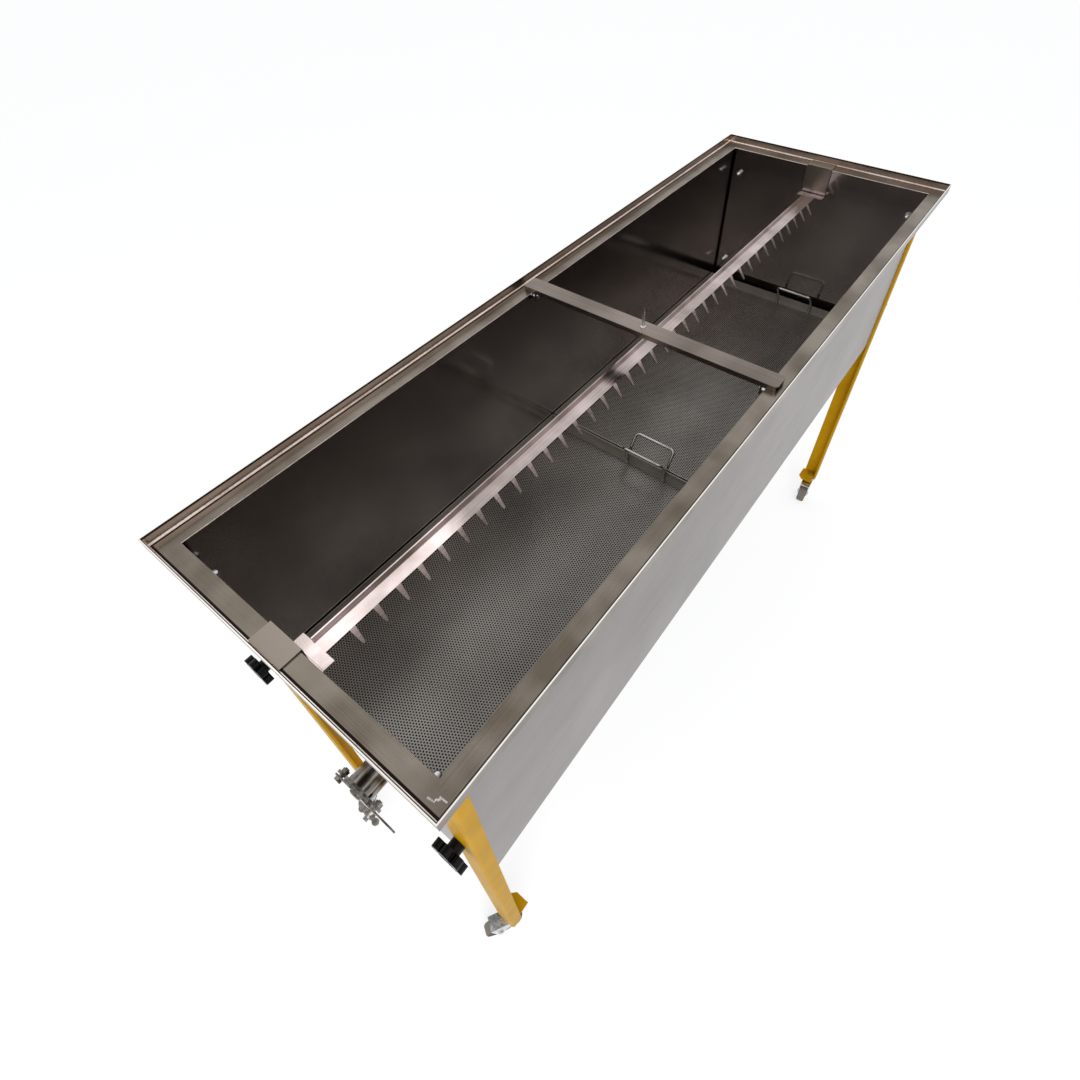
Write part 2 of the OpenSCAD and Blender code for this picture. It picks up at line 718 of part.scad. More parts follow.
module gate_seal() {
    color([0.75, 0.73, 0.68]) gate_place() translate([0, 0, pipe_l]) difference() {
        cylinder(d = gate_d - 4, h = seal_t, $fn = 96);
        translate([0, 0, -1]) cylinder(d = pipe_d - 2 * pipe_wall, h = seal_t + 2, $fn = 96);
    }
}

// The blade: a disc with a pivot ear on one side and, on the other, a lever with an open slot
module gate_blade() {
    slot_w = bolt_d + 2;
    keyhole_l = 0.8 * lever_w;
    color("lightgray") gate_place() translate([0, 0, blade_x]) {
        linear_extrude(blade_t) difference() {
            union() {
                gate_outline();
                translate([0, -lever_w / 2]) square([lever_l - lever_w / 2, lever_w]);
                translate([lever_l - lever_w / 2, 0]) circle(d = lever_w);
            }
            translate([-gate_bolt_r, 0]) circle(r = bolt_d / 2 + run_gap);
            translate([gate_bolt_r, 0]) circle(d = slot_w);
            translate([gate_bolt_r - slot_w / 2, -ear_r - 1]) square([slot_w, ear_r + 1]);
            for (x = [1, 2]) translate([lever_l - x * keyhole_l, 0]) circle(d = lever_w / 3);
            translate([lever_l - 2 * keyhole_l, -lever_w / 6]) square([keyhole_l, lever_w / 3]);
        }
        translate([0, 0, blade_t]) cylinder(d = 22, h = 2);
        translate([0, 0, blade_t + 2]) cylinder(d1 = 22, d2 = 15, h = 1.5);
    }
}

module gate_pivot_bolt() {
    low = gate_back - nut_h - 2;
    color("lightgray") gate_place() translate([-gate_bolt_r, 0, 0]) {
        translate([0, 0, gate_back - nut_h]) hexagon(nut_af, nut_h);
        translate([0, 0, low]) cylinder(d = bolt_d, h = wing_x - low);
        translate([0, 0, wing_x]) hexagon(nut_af, head_h);
    }
}

module gate_clamp_stud() {
    low = gate_back - nut_h - 2;
    color("lightgray") gate_place() translate([gate_bolt_r, 0, 0]) {
        translate([0, 0, gate_back - nut_h]) hexagon(nut_af, nut_h);
        translate([0, 0, low]) cylinder(d = bolt_d, h = gate_reach - low);
    }
}

// The wing nut: a tapered boss on the stud with two rounded wings
module gate_wing_nut() {
    wing_t = 3.5;
    color("lightgray") gate_place() translate([gate_bolt_r, 0, wing_x]) difference() {
        union() {
            cylinder(d1 = 17, d2 = 12, h = wing_l - 2);
            for (s = [-1, 1]) rotate([90, 0, 0]) translate([0, 0, -wing_t / 2]) linear_extrude(wing_t) {
                polygon([[0, 1], [s * 8, 1], [s * 19, 6], [s * 19, wing_l - 3], [0, wing_l - 3]]);
                translate([s * 15, wing_l - 6]) circle(r = 5.5);
            }
        }
        translate([0, 0, -1]) cylinder(r = bolt_d / 2 + run_gap, h = wing_l + 8);
    }
}

side_wall(-1);  // side_wall_front
side_wall(1);  // side_wall_back
end_wall(0);  // end_wall_gate
end_wall(1);  // end_wall_far
floor_pan();
rim_front();
rim_back();
rim_gate_end();
rim_far_end();
leg(0);  // leg_gate_front
leg(1);  // leg_gate_back
leg(2);  // leg_far_front
leg(3);  // leg_far_back
foot(0);  // foot_gate_front
foot(1);  // foot_gate_back
foot(2);  // foot_far_front
foot(3);  // foot_far_back
leg_bolts();
knob_studs();
knob(0);  // knob_gate_front
knob(1);  // knob_gate_back
knob(2);  // knob_far_front
knob(3);  // knob_far_back
castor_mounts();
fork(0);  // fork_gate_front
fork(1);  // fork_gate_back
fork(2);  // fork_far_front
fork(3);  // fork_far_back
axle(0);  // axle_gate_front
axle(1);  // axle_gate_back
axle(2);  // axle_far_front
axle(3);  // axle_far_back
wheel(0);  // wheel_gate_front
wheel(1);  // wheel_gate_back
wheel(2);  // wheel_far_front
wheel(3);  // wheel_far_back
tray_ledge(-1);  // tray_ledge_front
tray_ledge(1);  // tray_ledge_back
tray_sheet(0);  // tray_gate_sheet
tray_edges(0);  // tray_gate_edges
tray_handles(0);  // tray_gate_handles
tray_sheet(1);  // tray_far_sheet
tray_edges(1);  // tray_far_edges
tray_handles(1);  // tray_far_handles
frame_rest_rail();
rest_teeth();
rest_hook(0);  // rest_hook_gate
rest_hook(1);  // rest_hook_far
sliding_bar();
bar_spike();
spike_nut();
stop_tabs();
stop_screws();
outlet_pipe();
gate_plate();
gate_seal();
gate_blade();
gate_pivot_bolt();
gate_clamp_stud();
gate_wing_nut();
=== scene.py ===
"""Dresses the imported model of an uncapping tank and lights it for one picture.

The tank is a long stainless trough on four yellow legs with castors. A toothed frame rest hangs in
it, a bar with a spike slides on its rim, two perforated trays lie over its floor and an outlet gate
closes its pipe. Lengths and places are in metres, unless a name ends in _mm.
"""

import json
import logging
import math
from dataclasses import dataclass, field
from enum import Enum

import bmesh
import bpy
from mathutils import Euler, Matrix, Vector


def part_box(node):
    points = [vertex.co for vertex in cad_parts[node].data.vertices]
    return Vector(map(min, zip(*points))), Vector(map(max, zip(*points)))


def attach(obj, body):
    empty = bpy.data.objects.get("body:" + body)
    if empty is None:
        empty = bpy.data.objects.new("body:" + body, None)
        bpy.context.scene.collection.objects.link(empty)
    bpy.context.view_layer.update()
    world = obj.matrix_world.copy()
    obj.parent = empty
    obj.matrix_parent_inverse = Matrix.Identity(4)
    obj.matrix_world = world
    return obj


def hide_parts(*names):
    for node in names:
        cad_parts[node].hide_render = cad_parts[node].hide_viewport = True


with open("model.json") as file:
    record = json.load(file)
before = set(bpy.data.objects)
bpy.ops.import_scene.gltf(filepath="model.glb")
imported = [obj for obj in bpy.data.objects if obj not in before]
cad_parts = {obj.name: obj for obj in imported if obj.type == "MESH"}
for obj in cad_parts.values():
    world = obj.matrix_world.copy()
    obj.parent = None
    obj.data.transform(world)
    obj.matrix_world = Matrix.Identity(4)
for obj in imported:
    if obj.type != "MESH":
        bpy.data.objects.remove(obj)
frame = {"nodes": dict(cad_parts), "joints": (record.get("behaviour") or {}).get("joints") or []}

Tree = bpy.types.NodeTree
Socket = bpy.types.NodeSocket
Span = tuple[float, float]
Point = tuple[float, float, float]
Limit = tuple[Socket, float, float]

LOG = logging.getLogger("uncapping_tank")
MM = 0.001
CORNERS = ("gate_front", "gate_back", "far_front", "far_back")
ENDS = ("gate", "far")
WHITE = (1.0, 1.0, 1.0, 1.0)


def linear(hex_colour: str) -> tuple[float, float, float, float]:
    """Turn an sRGB hex colour into a linear one, by the curve of the sRGB standard.

    Args:
        hex_colour: Six hex digits after a hash.

    Returns:
        Linear red, green and blue, and an alpha of 1.
    """
    digits = hex_colour.lstrip("#")
    channels = [int(digits[i : i + 2], 16) / 255 for i in (0, 2, 4)]
    curved = [c / 12.92 if c <= 0.04045 else ((c + 0.055) / 1.055) ** 2.4 for c in channels]
    return (curved[0], curved[1], curved[2], 1.0)


def add(
    tree: Tree, kind: str, inputs: dict[str | int, object] | None = None, **settings: object
) -> bpy.types.Node:
    """Add a node to a tree with its settings, values and links.

    Args:
        tree: The node tree.
        kind: The node's type name.
        inputs: A value or a socket to link for each input, by name or by index.
        **settings: The node's own attributes.

    Returns:
        The new node.
    """
    node = tree.nodes.new(kind)
    for key, value in settings.items():
        setattr(node, key, value)
    for key, value in (inputs or {}).items():
        if isinstance(value, Socket):
            tree.links.new(value, node.inputs[key])
        else:
            node.inputs[key].default_value = value
    return node


def empty_tree(owner: bpy.types.Material | bpy.types.World) -> Tree:
    """Clear the node tree of a material or a world, and give it."""
    owner.use_nodes = True
    owner.node_tree.nodes.clear()
    return owner.node_tree


class Join(Enum):
    """Whether a mark needs all of its limits to be passed, or any of them."""

    ALL = "MINIMUM"
    ANY = "MAXIMUM"


def mark(tree: Tree, *limits: Limit, join: Join = Join.ALL) -> Socket:
    """Mark the part of a surface where values have passed their limits.

    Args:
        tree: The node tree.
        *limits: For each limit: the value, where the mark starts, and where it is full.
        join: How the limits make one mark.

    Returns:
        The mark's socket: 0 outside it and 1 where it is full.
    """
    shares = [
        add(tree, "ShaderNodeMapRange", {"Value": value, "From Min": start, "From Max": full}).outputs[0]
        for value, start, full in limits
    ]
    joined = shares[0]
    for share in shares[1:]:
        joined = add(tree, "ShaderNodeMath", {0: joined, 1: share}, operation=join.value).outputs[0]
    return joined


def layered(tree: Tree, ground: object, *layers: tuple[object, object]) -> Socket:
    """Lay colours one over another.

    Args:
        tree: The node tree.
        ground: The lowest colour.
        *layers: For each colour over it: how much of it shows, and the colour.

    Returns:
        The finished colour's socket.
    """
    for share, colour in layers:
        pair = {0: share, 6: ground, 7: colour}
        ground = add(tree, "ShaderNodeMix", pair, data_type="RGBA").outputs[2]
    return ground


class Grain(Enum):
    """The length of a surface's fine marks along X, Y and Z, in millimetres.

    Real strokes and pores are about a tenth of a millimetre wide, too fine for the picture, so they
    are drawn as wide as they need to be to show.
    """

    ALONG_X = (200.0, 1.111, 1.111)
    ALONG_Y = (1.111, 200.0, 1.111)
    FINE = (3.846, 3.846, 3.846)
    # Long streaks along X: the painted reflections on the outlet pipe.
    REFLECTION_STREAKS_X = (250.0, 6.667, 6.667)


@dataclass(frozen=True)
class Surface:
    """The node tree of one material, with what its colours and its gloss are worked out from.

    Attributes:
        tree: The node tree.
        axes: The piece's own coordinates, by X, Y and Z.
        facing: The way that the surface faces, in the piece's own axes.
        lines: The fine noise that brushing, moulding or plating leaves.
        clouds: Soft patches of light and dark.
    """

    tree: Tree
    axes: bpy.types.bpy_prop_collection
    facing: Socket
    lines: Socket
    clouds: Socket


@dataclass(frozen=True)
class Finish:
    """A surface of one piece: two close colours, a gloss and a fine relief.

    Attributes:
        name: The material's name, for the real thing.
        light: Hex colour of its light parts.
        dark: Hex colour of its dark parts.
        roughness: Middle roughness.
        metallic: 1 for bare metal, 0 for paint, plastic and rubber.
        grain: Shape of the fine marks.
        relief_mm: Height of the fine relief.
        cloud_mm: Size of the soft patches of light and dark.
        streaks: How far the fine lines, and not the patches, set the colour.
        sheen: Strength of the plain reflection of paint and plastic.
        contrast: Values of the pattern at which the dark and the light colour are full.
        wear: Values of the fine lines at which the roughness is lowest and highest.
        spread: How far the roughness goes either way from its middle.
        bump: Strength of the relief.
    """

    name: str
    light: str
    dark: str
    roughness: float
    metallic: float = 1.0
    grain: Grain = Grain.FINE
    relief_mm: float = 0.02
    cloud_mm: float = 160.0
    streaks: float = 0.35
    sheen: float = 0.5
    contrast: Span = (0.36, 0.64)
    wear: Span = (0.3, 0.7)
    spread: float = 0.07
    bump: float = 0.35

    def patterns(self, tree: Tree) -> Surface:
        """Lay the fine lines and the soft patches on the piece's own coordinates.

        Args:
            tree: The material's empty node tree.

        Returns:
            The tree with its patterns.
        """
        given = add(tree, "ShaderNodeTexCoord").outputs
        place = given["Object"]
        per_metre = tuple(1.0 / (size * MM) for size in self.grain.value)
        scaled = add(tree, "ShaderNodeMapping", {"Vector": place, "Scale": per_metre}).outputs[0]
        fine = {"Vector": scaled, "Scale": 1.0, "Detail": 3.0, "Roughness": 0.6}
        soft = {"Vector": place, "Scale": 1.0 / (self.cloud_mm * MM), "Detail": 2.5}
        return Surface(
            tree,
            axes=add(tree, "ShaderNodeSeparateXYZ", {0: place}).outputs,
            facing=given["Normal"],
            lines=add(tree, "ShaderNodeTexNoise", fine).outputs[0],
            clouds=add(tree, "ShaderNodeTexNoise", soft).outputs[0],
        )

    def colour(self, surface: Surface) -> Socket:
        """Mix the light and the dark colour by the fine lines and the patches.

        Args:
            surface: The material's tree with its patterns.

        Returns:
            The colour's socket.
        """
        tree = surface.tree
        parts = {0: self.streaks, 2: surface.clouds, 3: surface.lines}
        pattern = add(tree, "ShaderNodeMix", parts).outputs[0]
        return layered(tree, linear(self.dark), (mark(tree, (pattern, *self.contrast)), linear(self.light)))

    def gloss(self, surface: Surface) -> Socket:
        """Spread the roughness a little either way by the fine lines.

        Args:
            surface: The material's tree with its patterns.

        Returns:
            The roughness's socket.
        """
        ends = {
            "Value": surface.lines, "From Min": self.wear[0], "From Max": self.wear[1],
            "To Min": self.roughness - self.spread, "To Max": self.roughness + self.spread,
        }
        return add(surface.tree, "ShaderNodeMapRange", ends).outputs[0]

    def build(self) -> bpy.types.Material:
        """Make the material, once for each name.

        Returns:
            The material.
        """
        known = bpy.data.materials.get(self.name)
        if known is not None:
            return known
        material = bpy.data.materials.new(self.name)
        material.diffuse_color = linear(self.light)
        tree = empty_tree(material)
        surface = self.patterns(tree)
        relief = {"Height": surface.lines, "Strength": self.bump, "Distance": self.relief_mm * MM}
        parts = {
            "Base Color": self.colour(surface),
            "Roughness": self.gloss(surface),
            "Normal": add(tree, "ShaderNodeBump", relief).outputs[0],
            "Metallic": self.metallic,
            "Specular IOR Level": self.sheen,
        }
        shader = add(tree, "ShaderNodeBsdfPrincipled", parts)
        add(tree, "ShaderNodeOutputMaterial", {"Surface": shader.outputs[0]})
        return material


# Plated fasteners: small and bright, with a faint satin bloom that keeps them from looking like glass.
PLATED = Finish("bright_plated_steel", "#d9dadb", "#b9babb", 0.2, relief_mm=0.01)


@dataclass(frozen=True, kw_only=True)
class WallSheet(Finish):
    """Stainless sheet with a polished inner face, which mirrors the trays and the handles softly, and whose
    warmer colour there is a painted warm reflection.

    Attributes:
        across: The axis square to the sheet.
        skin: Places on that axis where the outer colour ends and the inner one is full.
        along: The level axis that the sheet runs along.
        ends: Where it meets its neighbours on that axis.
        weld: How far from its neighbours the weld's dark line is full, and where it has ended.
        inside: Hex colour of the inner face, a painted warm reflection.
        inside_dark: Hex colour of its darker patches.
        corner: Hex colour of the welded corners.
        polish: Roughness of the inner face.
    """

    across: str
    skin: Span
    along: str
    ends: Span
    weld: Span = (3 * MM, 7 * MM)
    inside: str = "#b5adaa"
    inside_dark: str = "#948c89"
    corner: str = "#2a2421"
    polish: float = 0.14

    def inner(self, surface: Surface) -> Socket:
        """Tell the inner face from the outer one."""
        return mark(surface.tree, (surface.axes[self.across], *self.skin))

    def colour(self, surface: Surface) -> Socket:
        """Give the inner face a warmer tone, a painted warm reflection, and a dark line at its welded
        corners.

        Args:
            surface: The material's tree with its patterns.

        Returns:
            The colour's socket.
        """
        tree, place = surface.tree, surface.axes[self.along]
        (low, high), (near, clean) = self.ends, self.weld
        both = (place, low + clean, low + near), (place, high - clean, high - near)
        weld = mark(tree, *both, join=Join.ANY)
        patches = (surface.clouds, linear(self.inside))
        inside = layered(tree, linear(self.inside_dark), patches, (weld, linear(self.corner)))
        return layered(tree, super().colour(surface), (self.inner(surface), inside))

    def gloss(self, surface: Surface) -> Socket:
        """Polish the inner face."""
        parts = {0: self.inner(surface), 2: super().gloss(surface), 3: self.polish}
        return add(surface.tree, "ShaderNodeMix", parts).outputs[0]


@dataclass(frozen=True, kw_only=True)
class RimSheet(Finish):
    """Brushed flange with painted light: a painted highlight along its hem, a lit tone painted on the lip's
    inner face, and painted shade in the crease at the lip's foot and in the hem's fold.

    Attributes:
        middle: Middle of the opening in X and Y.
        half: Half length and half width of the opening.
        lip: Distance of the lip's inner face outside the opening.
        foot: Distance of the foot of the lip's bend.
        hem: Distance of the hem's outer side.
        hem_z: Height at which the hem starts.
        face: Where the colour of the lip's inner face starts and ends, from the lip.
        crease: Where the painted shade of the crease starts and ends, from the foot.
        fold: Where the painted shade of the fold inside the hem starts and ends, from the hem's outer side.
        line: Where the painted highlight along the hem starts and ends, from the hem's outer side.
        gate_share: Share of the half length over which the lip's face brightens towards the gate in a
            painted glare.
        fade: Height over which a colour changes.
        fold_fade: Height over which the fold's colour changes.
        blur: Width over which a band's side changes.
        bright: Hex colour of the painted highlight along the hem.
        warm: Hex colour of the lit tone painted on the lip's inner face.
        bright_warm: Hex colour of the painted glare on the same face near the gate end.
        crease_shade: Hex colour of the painted shade in the crease and the fold.
    """

    middle: Span
    half: Span
    lip: float
    foot: float
    hem: float
    hem_z: float
    face: Span = (-0.6 * MM, 0.8 * MM)
    crease: Span = (-3.0 * MM, 0.4 * MM)
    fold: Span = (-3.5 * MM, -1.8 * MM)
    line: Span = (-1.8 * MM, -0.3 * MM)
    gate_share: float = 0.9
    fade: float = 0.6 * MM
    fold_fade: float = 0.4 * MM
    blur: float = 0.2 * MM
    bright: str = "#f1eeea"
    warm: str = "#b29e92"
    bright_warm: str = "#f7e3d8"
    crease_shade: str = "#1f1a17"

    def away(self, surface: Surface) -> Socket:
        """Measure how far a point lies outside the opening.

        Args:
            surface: The material's tree with its patterns.

        Returns:
            The distance's socket, negative inside the opening.
        """
        tree = surface.tree
        beyond = []
        for axis, middle, half in zip("XY", self.middle, self.half):
            value = surface.axes[axis]
            for step, number in (("SUBTRACT", middle), ("ABSOLUTE", 0.0), ("SUBTRACT", half)):
                value = add(tree, "ShaderNodeMath", {0: value, 1: number}, operation=step).outputs[0]
            beyond.append(value)
        return add(tree, "ShaderNodeMath", dict(enumerate(beyond)), operation="MAXIMUM").outputs[0]

    def band(self, away: Socket, line: float, span: Span) -> tuple[Limit, Limit]:
        """Give the two limits of a band that starts and ends at distances from a line."""
        start, end = line + span[0], line + span[1]
        return (away, start - self.blur, start), (away, end + self.blur, end)

    def colour(self, surface: Surface) -> Socket:
        """Lay the lip's painted lit tone, the painted shade in the crease at its foot and in the fold, and
        the painted highlight along the hem over the flat's colour.

        Args:
            surface: The material's tree with its patterns.

        Returns:
            The colour's socket.
        """
        tree, height, start = surface.tree, surface.axes["Z"], self.hem_z
        away = self.away(surface)
        # Painted light: a lit tone on the lip's face, shade in the crease and the fold, and a highlight
        # along the hem.
        face = mark(tree, *self.band(away, self.lip, self.face), (height, start, start - self.fade))
        crease = mark(tree, *self.band(away, self.foot, self.crease))
        fold = mark(tree, *self.band(away, self.hem, self.fold), (height, start - self.fold_fade, start))
        line = mark(tree, *self.band(away, self.hem, self.line), (height, start, start + self.fade))
        # Painted glare: the lip's face brightens towards the gate end.
        middle, bright_x = self.middle[0], self.middle[0] - self.gate_share * self.half[0]
        near_gate = mark(tree, (surface.axes["X"], middle, bright_x))
        tone = layered(tree, linear(self.warm), (near_gate, linear(self.bright_warm)))
        painted_shade = linear(self.crease_shade)
        flat = super().colour(surface)
        return layered(tree, flat, (face, tone), (crease, painted_shade), (fold, painted_shade), (line, linear(self.bright)))


@dataclass(frozen=True, kw_only=True)
class PunchedSheet(Finish):
    """Stainless sheet punched full of holes, whose cut walls carry painted shade.

    Attributes:
        cut: Hex colour of the painted shade on the walls of the holes.
        tilt: How far a face looks up or down where the painted shade starts and is full.
    """

    cut: str = "#26231f"
    tilt: Span = (0.7, 0.4)

    def colour(self, surface: Surface) -> Socket:
        """Paint shade on what stands upright."""
        tree = surface.tree
        upward = add(tree, "ShaderNodeSeparateXYZ", {0: surface.facing}).outputs["Z"]
        level = add(tree, "ShaderNodeMath", {0: upward}, operation="ABSOLUTE").outputs[0]
        upright = mark(tree, (level, *self.tilt))
        return layered(tree, super().colour(surface), (upright, linear(self.cut)))


@dataclass(frozen=True, kw_only=True)
class HookSheet(Finish):
    """Stainless strap, duller where it lies on the rim than on the cross piece that meets the rail.

    Attributes:
        from_z: Height at which the strap's colour starts.
        fade: Height over which it changes.
        strap: Hex colour of the part on the rim.
        strap_roughness: Roughness of that part.
    """

    from_z: float
    fade: float = 4 * MM
    strap: str = "#8f857c"
    strap_roughness: float = 0.34

    def upper(self, surface: Surface) -> Socket:
        """Tell the strap from the cross piece."""
        return mark(surface.tree, (surface.axes["Z"], self.from_z, self.from_z + self.fade))

    def colour(self, surface: Surface) -> Socket:
        """Give the strap its own tone."""
        own = (self.upper(surface), linear(self.strap))
        return layered(surface.tree, super().colour(surface), own)

    def gloss(self, surface: Surface) -> Socket:
        """Dull the strap."""
        parts = {0: self.upper(surface), 2: super().gloss(surface), 3: self.strap_roughness}
        return add(surface.tree, "ShaderNodeMix", parts).outputs[0]


@dataclass(frozen=True, kw_only=True)
class Tyre(Finish):
    """A moulded wheel: a worn pale tread between darker sides.

    Attributes:
        axle: Direction of the axle.
        side: Hex colour of the sides.
        turn: How far a face looks along the axle where the sides' colour starts and is full.
    """

    axle: Point
    side: str = "#3b3a37"
    turn: Span = (0.55, 0.8)

    def colour(self, surface: Surface) -> Socket:
        """Darken what faces along the axle."""
        tree = surface.tree
        pair = {0: surface.facing, 1: self.axle}
        along = add(tree, "ShaderNodeVectorMath", pair, operation="DOT_PRODUCT").outputs["Value"]
        turned = add(tree, "ShaderNodeMath", {0: along}, operation="ABSOLUTE").outputs[0]
        sideways = mark(tree, (turned, *self.turn))
        return layered(tree, super().colour(surface), (sideways, linear(self.side)))


def dress(finish: Finish, *nodes: str) -> None:
    """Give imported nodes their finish.

    Args:
        finish: What their surface is.
        *nodes: The nodes' names.
    """
    for node in nodes:
        materials = frame["nodes"][node].data.materials
        materials.clear()
        materials.append(finish.build())
        LOG.info("%s is %s", node, finish.name)


def bridge(shape: bmesh.types.BMesh, rings: list[list[Point]], closed: bool = False) -> None:
    """Join rings of points by bands of four-sided faces, each ring to the next.

    Args:
        shape: The mesh that the faces go into.
        rings: The rings, each with the same number of points.
        closed: Whether the last ring is joined to the first.
    """
    laid = [[shape.verts.new(point) for point in ring] for ring in rings]
    following = laid[1:] + (laid[:1] if closed else [])
    for first, second in zip(laid, following):
        for k in range(len(first)):
            shape.faces.new((first[k - 1], first[k], second[k], second[k - 1]))


def placed(name: str, shape: bmesh.types.BMesh) -> bpy.types.Object:
    """Put a finished shape into the scene.

    Args:
        name: The object's name.
        shape: Its shape, in the frame of the whole tank. It is freed.

    Returns:
        The new object.
    """
    data = bpy.data.meshes.new(name)
    shape.to_mesh(data)
    shape.free()
    thing = bpy.data.objects.new(name, data)
    bpy.context.scene.collection.objects.link(thing)
    return thing


def mesh_piece(name: str, shape: bmesh.types.BMesh, finish: Finish, body: str) -> None:
    """Turn a finished shape into a piece that rides on a body.

    Args:
        name: The piece's name.
        shape: Its shape, in the frame of the whole tank. It is freed.
        finish: What its surface is.
        body: The body that carries it.
    """
    piece = placed(name, shape)
    piece.data.materials.append(finish.build())
    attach(piece, body)
    LOG.info("%s rides on %s with %d faces", name, body, len(piece.data.polygons))


def pattern_tree(name: str, sizes: dict[str, str]) -> tuple[Tree, bpy.types.bpy_prop_collection]:
    """Start a geometry tree with its named inputs.

    Args:
        name: The tree's name.
        sizes: The kind of each input after the first, which is a geometry, by its name.

    Returns:
        The tree, and the sockets that give its inputs.
    """
    tree = bpy.data.node_groups.new(name, "GeometryNodeTree")
    for label, kind in {"Geometry": "Geometry", **sizes}.items():
        tree.interface.new_socket(label, in_out="INPUT", socket_type=f"NodeSocket{kind}")
    tree.interface.new_socket("Geometry", in_out="OUTPUT", socket_type="NodeSocketGeometry")
    return tree, add(tree, "NodeGroupInput").outputs


def grow(name: str, tree: Tree, values: dict[str, object], path: bmesh.types.BMesh) -> bpy.types.Object:
    """Run a geometry tree once and keep its result as a plain mesh.

    Args:
        name: The piece's name.
        tree: The geometry tree.
        values: A value for each named input.
        path: The mesh that the tree starts from, which may be empty. It is freed.

    Returns:
        The new piece, with no modifier left on it.
    """
    piece = placed(name, path)
    modifier = piece.modifiers.new("pattern", "NODES")
    modifier.node_group = tree
    for item in tree.interface.items_tree:
        if item.in_out == "INPUT" and item.name in values:
            modifier[item.identifier] = values[item.name]
    bpy.context.view_layer.update()
    solved = piece.evaluated_get(bpy.context.evaluated_depsgraph_get())
    data = bpy.data.meshes.new_from_object(solved)
    piece.modifiers.remove(modifier)
    piece.data = data
    LOG.info("%s has %d faces", name, len(data.polygons))
    return piece


@dataclass
class WeldBeads:
    """Rows of small overlapping beads where two strips of the rim were welded.

    Attributes:
        corner: The corner of the opening that the rows are measured from.
        level: Height of the flange that they lie on.
        rows_mm: The start and the end of each row, in X and Y from the corner.
        spacing: Distance between two beads.
        radius: A bead's radius.
        flatness: Its height, as a share of its width.
        least: Smallest scale of a bead along X, Y and Z.
        most: Largest scale of a bead along X, Y and Z.
        finish: The weld's surface.
    """

    corner: Vector
    level: float
    rows_mm: tuple[tuple[Span, Span], ...] = (
        ((-18.2, -3.5), (-17.4, -10.0)), ((-15.2, -10.5), (-12.4, -13.5)), ((-10.9, -12.5), (-10.5, -20.0)),
    )
    spacing: float = 1.7 * MM
    radius: float = 1.3 * MM
    flatness: float = 0.6
    least: Point = (0.75, 0.75, 0.75)
    most: Point = (1.25, 1.25, 1.1)
    # Weld metal as it set: lumps brighter than the sheet, which catch the light one by one.
    finish: Finish = Finish("bright_weld", "#dedcd8", "#9c9893", 0.28, relief_mm=0.03, cloud_mm=12.0)

    def tree(self) -> Tree:
        """Build the tree that lays beads along a path.

        Returns:
            The geometry tree, with its sizes as named inputs.
        """
        sizes = {name: "Float" for name in ("Spacing", "Radius", "Flatness")}
        tree, given = pattern_tree("weld_beads", sizes | {"Seed": "Int", "Finish": "Material"})
        line = add(tree, "GeometryNodeMeshToCurve", {"Mesh": given["Geometry"]}).outputs[0]
        parts = {"Curve": line, "Length": given["Spacing"]}
        even = add(tree, "GeometryNodeResampleCurve", parts, mode="LENGTH").outputs[0]
        parts = {"Radius": given["Radius"], "Subdivisions": 2}
        drop = add(tree, "GeometryNodeMeshIcoSphere", parts).outputs[0]
        parts = {0: self.least, 1: self.most, "Seed": given["Seed"]}
        jitter = add(tree, "FunctionNodeRandomValue", parts, data_type="FLOAT_VECTOR").outputs[0]
        flat = add(tree, "ShaderNodeCombineXYZ", {"X": 1.0, "Y": 1.0, "Z": given["Flatness"]}).outputs[0]
        scale = add(tree, "ShaderNodeVectorMath", {0: jitter, 1: flat}, operation="MULTIPLY").outputs[0]
        parts = {"Points": even, "Instance": drop, "Scale": scale}
        spread = add(tree, "GeometryNodeInstanceOnPoints", parts).outputs[0]
        solid = add(tree, "GeometryNodeRealizeInstances", {0: spread}).outputs[0]
        parts = {"Geometry": solid, "Material": given["Finish"]}
        add(tree, "NodeGroupOutput", {0: add(tree, "GeometryNodeSetMaterial", parts).outputs[0]})
        return tree

    def build(self) -> None:
        """Lay the rows on the tank."""
        tree = self.tree()
        for k, row in enumerate(self.rows_mm):
            path = bmesh.new()
            points = [(self.corner.x + x * MM, self.corner.y + y * MM, self.level) for x, y in row]
            path.edges.new([path.verts.new(point) for point in points])
            values = {
                "Spacing": self.spacing, "Radius": self.radius, "Flatness": self.flatness,
                "Seed": k + 1, "Finish": self.finish.build(),
            }
            piece = grow(f"corner_weld_{k}", tree, values, path)
            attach(piece, "tank")


